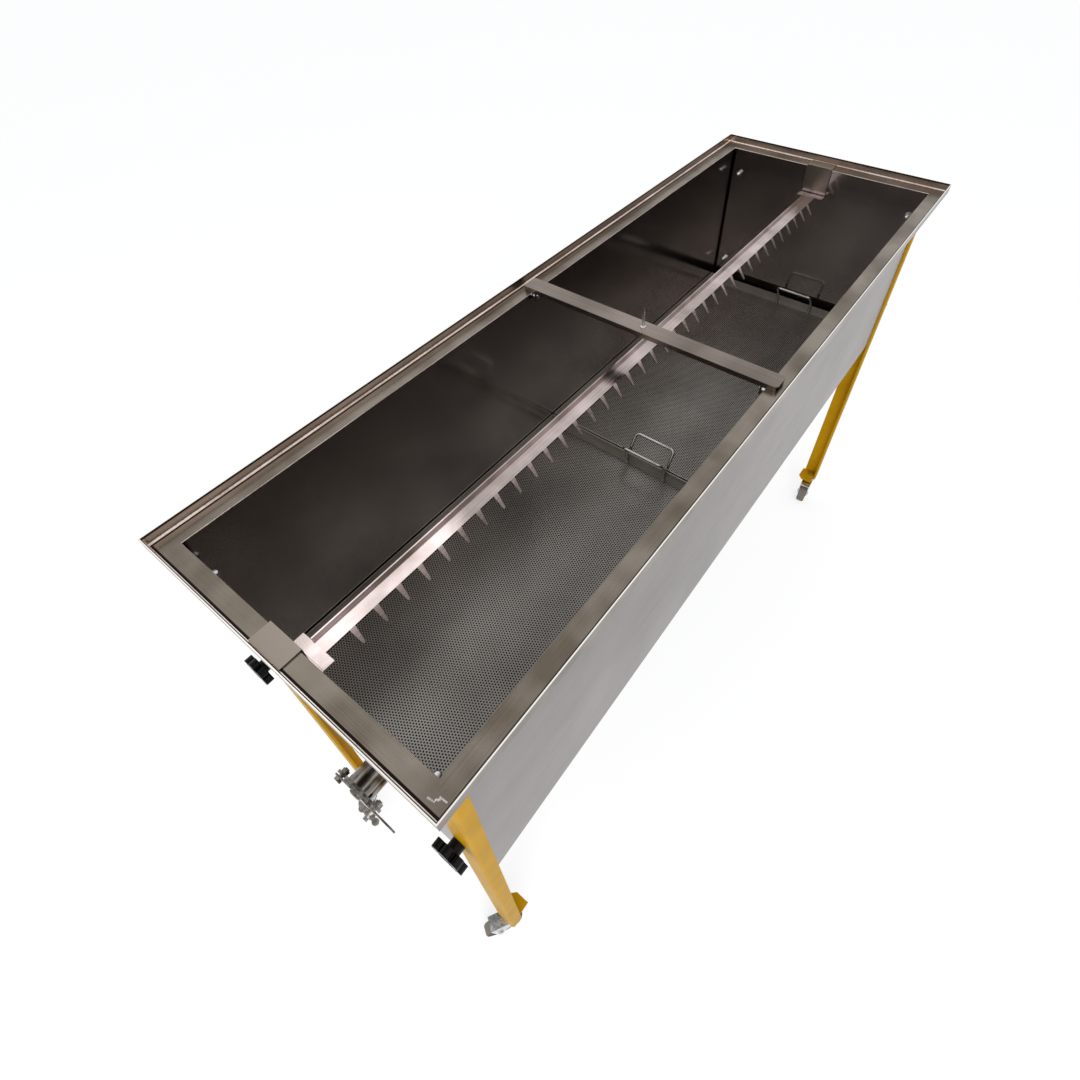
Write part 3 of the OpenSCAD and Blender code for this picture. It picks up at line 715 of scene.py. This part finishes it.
@dataclass
class Tank:
    """The folded tank: walls, floor, rim and tray ledges.

    Distances of the rim's parts are measured outwards from the opening.

    Attributes:
        low: Lowest inner corner of the trough.
        high: Highest corner of its floor, at the far back.
        flange: Thickness of the rim's strips.
        rim_z: Height of the flange's top.
        lip_top: Height of the lip's top.
        lip: Distance of the lip's inner face.
        hem: Distance of the hem's outer side.
        hem_depth: From the lip's top to the hem's lower edge.
        bend: Radius of the bend at the lip's foot.
        sink: How deep the bend's piece sits in the sheet.
        edge: Radius of the rounded edge along the opening.
        edge_reach: How far that edge's round reaches back over the flange, as a share of the radius.
        skim: How far the edge's piece lies under the flange's top at its back.
        skin: Depths under a wall's inner face where the outer colour ends and the inner one is full.
        highlight_edge: The surface of the bend and the rounded edge, whose pale colour is a painted
            highlight.
        floor: The floor's surface.
        ledge: The tray ledges' surface.
    """

    low: Vector = field(default_factory=lambda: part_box("floor_pan")[0])
    high: Vector = field(default_factory=lambda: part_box("floor_pan")[1])
    flange: float = 2.0 * MM
    rim_z: float = field(default_factory=lambda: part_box("rim_front")[0].z + Tank.flange)
    lip_top: float = field(default_factory=lambda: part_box("rim_front")[1].z)
    lip: float = 29.5 * MM
    hem: float = 32.0 * MM
    hem_depth: float = 2.6 * MM
    bend: float = 2.6 * MM
    sink: float = 0.4 * MM
    edge: float = 1.5 * MM
    edge_reach: float = 0.62
    skim: float = 0.01 * MM
    skin: Span = (0.8 * MM, 0.2 * MM)
    # Stainless paler than the flange: the round of the bend and the edge catches real light, and their pale
    # colour adds a painted highlight, a smooth pale line that leads the eye round the rim.
    highlight_edge: Finish = Finish("pale_highlight_stainless", "#e9dcd5", "#b09f95", 0.3, relief_mm=0.01, cloud_mm=60.0)
    # A floor darkened by painted shade, as little light reaches it under the trays: dark and soft, so that
    # the trays stand out over it.
    floor: Finish = Finish("painted_shade_floor", "#2c2927", "#1e1c1a", 0.5, grain=Grain.ALONG_X)
    # Plain folded sheet that little light reaches: it stays quiet under the trays' edges.
    ledge: Finish = Finish("shaded_stainless", "#4a4643", "#35312e", 0.4)

    def wall(self, node: str, across: str, inner: float, toward: int) -> None:
        """Dress one wall.

        Args:
            node: The wall's name.
            across: The axis square to it.
            inner: Place of its inner face on that axis.
            toward: 1 if the inner face looks along that axis, and -1 if it looks against it.
        """
        along = "Y" if across == "X" else "X"
        k = "XYZ".index(along)
        # Sheet brushed lengthwise outside, which spreads the light into a soft grey, and polished inside,
        # where it darkly mirrors what lies in the tank and takes a painted warm reflection.
        dress(WallSheet(
            f"brushed_stainless_{node}", "#8f8a88", "#7f7a78", 0.34, grain=Grain[f"ALONG_{along}"],
            across=across, skin=(inner - toward * self.skin[0], inner - toward * self.skin[1]),
            along=along, ends=(self.low[k], self.high[k]),
        ), node)

    def rim(self, along: str) -> Finish:
        """Choose the finish of the rim's strips that run along an axis, which is X or Y."""
        middle, half = (self.low + self.high) / 2, (self.high - self.low) / 2
        # Brushed flange, stained by handling: warm and streaky, with painted shade in the crease under the
        # lip, a lit tone and glare painted on the lip's face, and a painted highlight along the hem, so
        # that each fold reads from afar.
        return RimSheet(
            f"brushed_rim_along_{along.lower()}", "#8e867c", "#675e54", 0.27,
            grain=Grain[f"ALONG_{along}"], cloud_mm=90.0, streaks=0.14,
            middle=(middle.x, middle.y), half=(half.x, half.y),
            lip=self.lip, foot=self.lip - self.bend, hem=self.hem, hem_z=self.lip_top - self.hem_depth,
        )

    def quarter(self, count: int = 6) -> list[float]:
        """Give the angles of a quarter turn, in even steps."""
        return [math.pi / 2 * k / count for k in range(count + 1)]

    def lip_bend(self) -> list[Span]:
        """Draw the hollow bend where the lip leaves the flange, as a closed outline for ring."""
        bend, foot, top = self.bend, self.lip - self.bend, self.rim_z
        hollow = [(foot + bend * math.sin(a), top + bend - bend * math.cos(a)) for a in self.quarter()]
        behind, below = self.lip + self.sink, top - self.sink
        return hollow + [(behind, top + bend), (behind, below), (foot, below)]

    def rounded_edge(self) -> list[Span]:
        """Draw the rounded edge of the flange along the opening, as a closed outline for ring."""
        size, top, reach = self.edge, self.rim_z, self.edge_reach
        over = [(size * (reach - math.sin(a)), top - size * (1 - math.cos(a))) for a in self.quarter()]
        return over + [(size, top - 2 * size), (size, top - self.skim)]

    def ring(self, name: str, profile: list[Span]) -> None:
        """Run a profile round the opening, mitred at the corners.

        Args:
            name: The piece's name.
            profile: Its closed outline: distances from the opening and heights.
        """
        shape = bmesh.new()
        rings = []
        for away, z in profile:
            x0, x1 = self.low.x - away, self.high.x + away
            y0, y1 = self.low.y - away, self.high.y + away
            rings.append([(x0, y0, z), (x1, y0, z), (x1, y1, z), (x0, y1, z)])
        bridge(shape, rings, closed=True)
        bmesh.ops.recalc_face_normals(shape, faces=shape.faces)
        mesh_piece(name, shape, self.highlight_edge, "tank")

    def build(self) -> None:
        """Dress the sheets, and add the lip's bend, the rounded edge and the corner's weld beads."""
        self.wall("side_wall_front", "Y", self.low.y, 1)
        self.wall("side_wall_back", "Y", self.high.y, -1)
        self.wall("end_wall_gate", "X", self.low.x, 1)
        self.wall("end_wall_far", "X", self.high.x, -1)
        dress(self.floor, "floor_pan")
        dress(self.ledge, "tray_ledge_front", "tray_ledge_back")
        dress(self.rim("X"), "rim_front", "rim_back")
        dress(self.rim("Y"), "rim_gate_end", "rim_far_end")
        self.ring("lip_bend", self.lip_bend())
        self.ring("worn_cut_edge", self.rounded_edge())
        WeldBeads(self.low, self.rim_z).build()


@dataclass
class Legs:
    """Painted leg angles and foot plates, their bolts and the star knobs.

    Attributes:
        paint: The surface of the angles and the foot plates.
        plastic: The knobs' surface.
    """

    # Sprayed yellow enamel: one strong even colour with a faint orange-peel skin and little mirror.
    paint: Finish = Finish(
        "gloss_yellow_paint", "#efb614", "#e0a80d", 0.4, 0.0, relief_mm=0.05, cloud_mm=60.0, sheen=0.05
    )
    # Moulded black plastic: nearly black, with a soft gloss on its lobes.
    plastic: Finish = Finish(
        "black_moulded_plastic", "#0b0a0a", "#060606", 0.28, 0.0, relief_mm=0.03, sheen=0.16
    )

    def build(self) -> None:
        """Dress the legs with all that holds them."""
        for corner in CORNERS:
            dress(self.paint, f"leg_{corner}", f"foot_{corner}")
            dress(self.plastic, f"knob_{corner}")
        dress(PLATED, "leg_bolts", "knob_studs")


@dataclass
class Castors:
    """Zinc forks, axles and swivel bolts, and the wheels.

    Attributes:
        zinc: The surface of all but the wheels.
    """

    # Bright zinc plate: cool and pale, with soft darker patches that tell it from stainless.
    zinc: Finish = Finish("bright_zinc_plate", "#e2e5e7", "#a0a3a5", 0.22, relief_mm=0.015, cloud_mm=14.0)

    def build(self) -> None:
        """Dress the castors."""
        axes = {joint["name"]: joint["axis"] for joint in frame["joints"]}
        dress(self.zinc, "castor_mounts")
        for corner in CORNERS:
            dress(self.zinc, f"fork_{corner}", f"axle_{corner}")
            # Moulded wheel: matt and dusty on the tread, darker on the sides that nothing rubs.
            dress(Tyre(
                f"moulded_wheel_{corner}", "#9a9182", "#857c6f", 0.6, 0.0, relief_mm=0.05,
                axle=tuple(float(v) for v in axes[f"wheel_{corner}_roll"]),
            ), f"wheel_{corner}")


@dataclass
class FrameRest:
    """The toothed rail and its hooks.

    Attributes:
        rail: The surface of the rail and its teeth.
    """

    # Polished and brushed strip: the brightest sheet in the tank, with long pinkish streaks.
    rail: Finish = Finish(
        "brushed_stainless_rail", "#cfc1c0", "#948984", 0.17, grain=Grain.ALONG_X, cloud_mm=70.0
    )

    def build(self) -> None:
        """Dress the rail, its teeth and the hooks."""
        dress(self.rail, "frame_rest_rail", "rest_teeth")
        # The same strip at the hooks: bright where it meets the rail, and dull where it rubs the rim.
        dress(HookSheet(
            "brushed_stainless_hook", self.rail.light, self.rail.dark, self.rail.roughness,
            grain=Grain.ALONG_X, cloud_mm=40.0, from_z=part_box("frame_rest_rail")[1].z,
        ), "rest_hook_gate", "rest_hook_far")


@dataclass
class SlidingBar:
    """The bar with its spike and its stops.

    Attributes:
        sheet: The surface of the bar and its stop tabs.
    """

    # Brushed channel, worn by sliding: a duller and browner metal than the rail that it crosses.
    sheet: Finish = Finish(
        "brushed_stainless_bar", "#978c85", "#70665f", 0.3, grain=Grain.ALONG_Y, cloud_mm=120.0
    )

    def build(self) -> None:
        """Dress the bar."""
        dress(self.sheet, "sliding_bar", "stop_tabs")
        dress(PLATED, "bar_spike", "spike_nut", "stop_screws")


@dataclass
class Trays:
    """The two perforated trays with their folded edges and wire handles.

    Attributes:
        pitch: Distance between the middles of two neighbouring holes.
        hole: Width of a hole across its corners.
        margin: Least width of the plain sheet round the holes.
        inset: How far that margin stays under the sheet's faces.
        strips: Number of pieces that a tray's holes are shared among, to keep each one small.
        weld: Distance within which the corners of two cells become one.
        sheet: The surface of the perforated sheet.
        edge: The surface of the folded edges.
        wire: The surface of the handles.
    """

    pitch: float = 5.0 * MM
    hole: float = 3.5 * MM
    margin: float = 3.5 * MM
    inset: float = 0.05 * MM
    strips: int = 4
    weld: float = 0.01 * MM
    # Punched sheet: pale and even from afar, as the painted shade on each hole's wall sets its bright face
    # off.
    sheet: Finish = PunchedSheet("perforated_stainless", "#96928d", "#7b7772", 0.34, relief_mm=0.01)
    # Folded edge: a soft satin that draws a plain line round each field of holes.
    edge: Finish = Finish("folded_stainless_edge", "#c9c3bd", "#a9a39d", 0.5, grain=Grain.ALONG_X)
    # Polished round wire: narrow sharp glints along each bend.
    wire: Finish = Finish("polished_stainless_wire", "#c9c7c4", "#a9a6a2", 0.18, relief_mm=0.01)

    def cell(self, thickness: float) -> bpy.types.Object:
        """Make one six-sided cell of the sheet with its hole.

        Args:
            thickness: The sheet's thickness.

        Returns:
            A helper object, which the caller removes.
        """
        outer, inner = self.pitch / math.sqrt(3), self.hole / 2
        turns = [math.radians(30 + 60 * k) for k in range(6)]
        shape = bmesh.new()
        bridge(shape, [
            [(radius * math.cos(a), radius * math.sin(a), height) for a in turns]
            for radius, height in ((outer, 0.0), (inner, 0.0), (inner, -thickness), (outer, -thickness))
        ])
        return placed("cell", shape)

    def tree(self) -> Tree:
        """Build the tree that repeats the cell in staggered rows.

        Returns:
            The geometry tree, with its sizes as named inputs.
        """
        sizes = {name: "Float" for name in ("Pitch", "Start X", "Start Y", "Level", "Weld")}
        sizes |= {name: "Int" for name in ("Columns", "Even Rows", "Odd Rows")}
        sizes |= {"Cell": "Object", "Finish": "Material"}
        tree, given = pattern_tree("perforation", sizes)
        pitch = given["Pitch"]
        row = add(tree, "ShaderNodeMath", {0: pitch, 1: math.sqrt(3)}, operation="MULTIPLY").outputs[0]
        step = add(tree, "ShaderNodeCombineXYZ", {"X": pitch, "Y": row}).outputs[0]
        parts = {"X": given["Start X"], "Y": given["Start Y"], "Z": given["Level"]}
        start = add(tree, "ShaderNodeCombineXYZ", parts).outputs[0]
        both = add(tree, "GeometryNodeJoinGeometry")
        for rows, shift in (("Even Rows", 0.0), ("Odd Rows", 0.5)):
            count = add(tree, "ShaderNodeCombineXYZ", {"X": given["Columns"], "Y": given[rows]}).outputs[0]
            parts = {0: count, 1: (1.0, 1.0, 0.0)}
            gaps = add(tree, "ShaderNodeVectorMath", parts, operation="SUBTRACT").outputs[0]
            size = add(tree, "ShaderNodeVectorMath", {0: gaps, 1: step}, operation="MULTIPLY").outputs[0]
            parts = {0: size, 1: (0.5, 0.5, 0.5), 2: start}
            middle = add(tree, "ShaderNodeVectorMath", parts, operation="MULTIPLY_ADD").outputs[0]
            parts = {0: step, 1: (shift, shift, 0.0), 2: middle}
            place = add(tree, "ShaderNodeVectorMath", parts, operation="MULTIPLY_ADD").outputs[0]
            sides = add(tree, "ShaderNodeSeparateXYZ", {0: size}).outputs
            parts = {"Size X": sides["X"], "Size Y": sides["Y"]}
            parts |= {"Vertices X": given["Columns"], "Vertices Y": given[rows]}
            grid = add(tree, "GeometryNodeMeshGrid", parts).outputs[0]
            moved = add(tree, "GeometryNodeTransform", {"Geometry": grid, "Translation": place}).outputs[0]
            tree.links.new(moved, both.inputs[0])
        cell = add(tree, "GeometryNodeObjectInfo", {"Object": given["Cell"]}).outputs["Geometry"]
        parts = {"Points": both.outputs[0], "Instance": cell}
        spread = add(tree, "GeometryNodeInstanceOnPoints", parts).outputs[0]
        solid = add(tree, "GeometryNodeRealizeInstances", {0: spread}).outputs[0]
        parts = {"Geometry": solid, "Distance": given["Weld"]}
        closed = add(tree, "GeometryNodeMergeByDistance", parts).outputs[0]
        parts = {"Geometry": closed, "Material": given["Finish"]}
        add(tree, "NodeGroupOutput", {0: add(tree, "GeometryNodeSetMaterial", parts).outputs[0]})
        return tree

    def border(self, end: str, low: Vector, high: Vector) -> None:
        """Lay the plain margin round a tray's holes.

        Args:
            end: Which tray.
            low: The sheet's lowest corner.
            high: The sheet's highest corner.
        """
        wide = self.margin + self.pitch
        across, depth = (low.x, high.x), (low.z + self.inset, high.z - self.inset)
        between = (low.y + wide, high.y - wide)
        shape = bmesh.new()
        for spans in (
            (across, (low.y, low.y + wide), depth), (across, (high.y - wide, high.y), depth),
            ((low.x, low.x + wide), between, depth), ((high.x - wide, high.x), between, depth),
        ):
            for vertex in bmesh.ops.create_cube(shape, size=1.0)["verts"]:
                vertex.co = [span[1] if side > 0 else span[0] for span, side in zip(spans, vertex.co)]
        mesh_piece(f"tray_{end}_margin", shape, self.sheet, f"tray_{end}")

    def perforate(self, end: str, tree: Tree) -> None:
        """Put the fine field of holes in place of a tray's sheet.

        Args:
            end: Which tray.
            tree: The geometry tree.
        """
        low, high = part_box(f"tray_{end}_sheet")
        row = self.pitch * math.sqrt(3) / 2
        # Every other row is shifted by half a pitch, so a row is half a pitch longer than its holes.
        columns = int((high.x - low.x - 2 * self.margin) / self.pitch - 0.5)
        rows = int((high.y - low.y - 2 * self.margin) / row - 1)
        start_x = (low.x + high.x - (columns - 0.5) * self.pitch) / 2
        start_y = (low.y + high.y - (rows - 1) * row) / 2
        cell = self.cell(high.z - low.z)
        first = 0
        for k in range(self.strips):
            last = round(columns * (k + 1) / self.strips)
            values = {
                "Pitch": self.pitch, "Start X": start_x + first * self.pitch, "Start Y": start_y,
                "Level": high.z, "Weld": self.weld, "Columns": last - first,
                "Even Rows": (rows + 1) // 2, "Odd Rows": rows // 2,
                "Cell": cell, "Finish": self.sheet.build(),
            }
            strip = grow(f"tray_{end}_perforation_{k}", tree, values, bmesh.new())
            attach(strip, f"tray_{end}")
            if k == 0:
                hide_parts(f"tray_{end}_sheet")
            first = last
        bpy.data.objects.remove(cell)
        self.border(end, low, high)

    def build(self) -> None:
        """Make the fine sheets and dress the rest."""
        tree = self.tree()
        for end in ENDS:
            self.perforate(end, tree)
            dress(self.edge, f"tray_{end}_edges")
            dress(self.wire, f"tray_{end}_handles")


@dataclass
class OutletGate:
    """The outlet pipe with its plate, seal, blade and fasteners.

    Attributes:
        cast: The surface of the plate and the blade.
        tube: The pipe's surface.
        plated: The surface of the bolt, the stud and the wing nut.
        seal: The seal's surface.
    """

    # Cast stainless, polished: light and dark patches close together, painted reflections of dark
    # surroundings that make it sparkle.
    cast: Finish = Finish("polished_stainless_gate", "#98928c", "#3a3633", 0.14, cloud_mm=11.0)
    # Stainless tube: long bright and dark streaks along it, painted reflections which make it look round.
    tube: Finish = Finish(
        "streaked_stainless_tube", "#a39d96", "#191613", 0.12, grain=Grain.REFLECTION_STREAKS_X, relief_mm=0.0, streaks=0.95
    )
    # Gate fasteners greyer than those of the legs, and blotched: painted dark reflections.
    plated: Finish = Finish("dark_reflection_plated_steel", "#a8a39d", "#5b5651", 0.2, relief_mm=0.01, cloud_mm=7.0)
    # Food-grade rubber: pale and matt between the two metals.
    seal: Finish = Finish("pale_rubber_seal", "#c8c2b4", "#b5afa2", 0.6, 0.0)

    def build(self) -> None:
        """Dress the gate."""
        dress(self.tube, "outlet_pipe")
        dress(self.cast, "gate_plate", "gate_blade")
        dress(self.seal, "gate_seal")
        dress(self.plated, "gate_pivot_bolt", "gate_clamp_stud", "gate_wing_nut")


@dataclass(frozen=True)
class Lamp:
    """A soft rectangular lamp.

    Attributes:
        name: Its name.
        place: Where it hangs.
        size: Its length along X and its width.
        watts: Its power.
    """

    name: str
    place: Point
    size: Span
    watts: float


@dataclass
class Studio:
    """The camera, the pale floor and the soft light.

    Attributes:
        place: Where the camera stands.
        turn_deg: How it is turned about X, Y and Z, in degrees.
        focal_px: Its focal length, in pixels of the picture.
        centre_px: The point of the picture that it is aimed at, in pixels.
        frame_px: The picture's width and height, in pixels.
        nearest: Distance from which the camera sees.
        aim: The point that the lamps look at.
        lamps: The lamps.
        sky: Hex colour of the light from all round.
        sky_strength: Strength of that light.
        floor_half: Half the floor's width.
        floor_drop: How far the floor lies under the wheels.
        floor_grey: The floor's brightness in the light that it throws back.
        shadow_grey: Its brightness in the camera's eyes, under the glow.
        glow: Strength of its glow in the camera's eyes.
    """

    place: Point = (-0.80605, -0.44905, 1.63069)
    turn_deg: Point = (42.5365, 1.8561, -51.9724)
    focal_px: float = 637.24
    centre_px: Span = (552.307, 468.596)
    frame_px: float = 1080.0
    nearest: float = 0.05
    aim: Point = (0.0, 0.0, 0.6)
    lamps: tuple[Lamp, ...] = (
        Lamp("key", (0.05, 1.5, 3.2), (1.1, 0.4), 2.2),
        Lamp("fill", (-2.4, -2.2, 3.0), (2.4, 2.4), 40.0),
    )
    sky: str = "#f5f7fa"
    sky_strength: float = 0.5
    floor_half: float = 90.0
    floor_drop: float = 0.5 * MM
    floor_grey: float = 0.8
    shadow_grey: float = 0.6
    glow: float = 0.7

    def camera(self) -> None:
        """Set the camera at the photograph's viewing angle."""
        data = bpy.data.cameras.new("camera")
        data.sensor_fit = "HORIZONTAL"
        data.lens = self.focal_px * data.sensor_width / self.frame_px
        data.shift_x = (self.frame_px / 2 - self.centre_px[0]) / self.frame_px
        data.shift_y = (self.centre_px[1] - self.frame_px / 2) / self.frame_px
        data.clip_start = self.nearest
        camera = bpy.data.objects.new("camera", data)
        camera.location = self.place
        camera.rotation_euler = Euler([math.radians(v) for v in self.turn_deg])
        bpy.context.scene.collection.objects.link(camera)
        bpy.context.scene.camera = camera

    def seen(self, tree: Tree) -> Socket:
        """Tell the rays of the camera, of mirrors and of glass from the rest.

        Args:
            tree: The node tree.

        Returns:
            The socket of a share: 1 for those rays and 0 for the rest.
        """
        path = add(tree, "ShaderNodeLightPath").outputs
        share = path["Is Camera Ray"]
        for ray in ("Is Glossy Ray", "Is Transmission Ray"):
            share = add(tree, "ShaderNodeMath", {0: share, 1: path[ray]}, operation="MAXIMUM").outputs[0]
        return share

    def world(self) -> None:
        """Surround the object with plain white, which lights it softly."""
        world = bpy.data.worlds.new("studio")
        bpy.context.scene.world = world
        tree = empty_tree(world)
        parts = {"Color": linear(self.sky), "Strength": self.sky_strength}
        light = add(tree, "ShaderNodeBackground", parts).outputs[0]
        white = add(tree, "ShaderNodeBackground", {"Color": WHITE, "Strength": 1.0}).outputs[0]
        mixed = add(tree, "ShaderNodeMixShader", {0: self.seen(tree), 1: light, 2: white})
        add(tree, "ShaderNodeOutputWorld", {"Surface": mixed.outputs[0]})

    def floor(self) -> None:
        """Lay the pale floor, which keeps the shadow and shows white round it."""
        shape = bmesh.new()
        bmesh.ops.create_grid(shape, x_segments=1, y_segments=1, size=self.floor_half)
        floor = placed("floor", shape)
        floor.location.z = -self.floor_drop
        # A sheet of white studio paper: it takes the soft shadow and melts into the background.
        material = bpy.data.materials.new("studio_floor")
        tree = empty_tree(material)
        plain, pale = (
            add(tree, "ShaderNodeBsdfDiffuse", {"Color": (grey, grey, grey, 1.0)}).outputs[0]
            for grey in (self.floor_grey, self.shadow_grey)
        )
        glow = add(tree, "ShaderNodeEmission", {"Color": WHITE, "Strength": self.glow}).outputs[0]
        lit = add(tree, "ShaderNodeAddShader", {0: pale, 1: glow}).outputs[0]
        mixed = add(tree, "ShaderNodeMixShader", {0: self.seen(tree), 1: plain, 2: lit})
        add(tree, "ShaderNodeOutputMaterial", {"Surface": mixed.outputs[0]})
        floor.data.materials.append(material)

    def hang(self, lamp: Lamp) -> None:
        """Hang a lamp that looks at the tank."""
        data = bpy.data.lights.new(lamp.name, "AREA")
        data.shape = "RECTANGLE"
        data.size, data.size_y = lamp.size
        data.energy = lamp.watts
        light = bpy.data.objects.new(lamp.name, data)
        light.location = lamp.place
        look = Vector(self.aim) - Vector(lamp.place)
        light.rotation_euler = look.to_track_quat("-Z", "Y").to_euler()
        bpy.context.scene.collection.objects.link(light)

    def build(self) -> None:
        """Set the scene up."""
        self.camera()
        self.world()
        self.floor()
        for lamp in self.lamps:
            self.hang(lamp)
        bpy.context.scene.view_settings.view_transform = "Standard"


def main() -> None:
    """Dress the tank, piece by piece, and light it."""
    logging.basicConfig(level=logging.INFO, format="%(message)s")
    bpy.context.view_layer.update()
    for part in (Tank(), Legs(), Castors(), FrameRest(), SlidingBar(), Trays(), OutletGate(), Studio()):
        part.build()
        LOG.info("%s done", type(part).__name__)


if __name__ == "__main__":
    main()
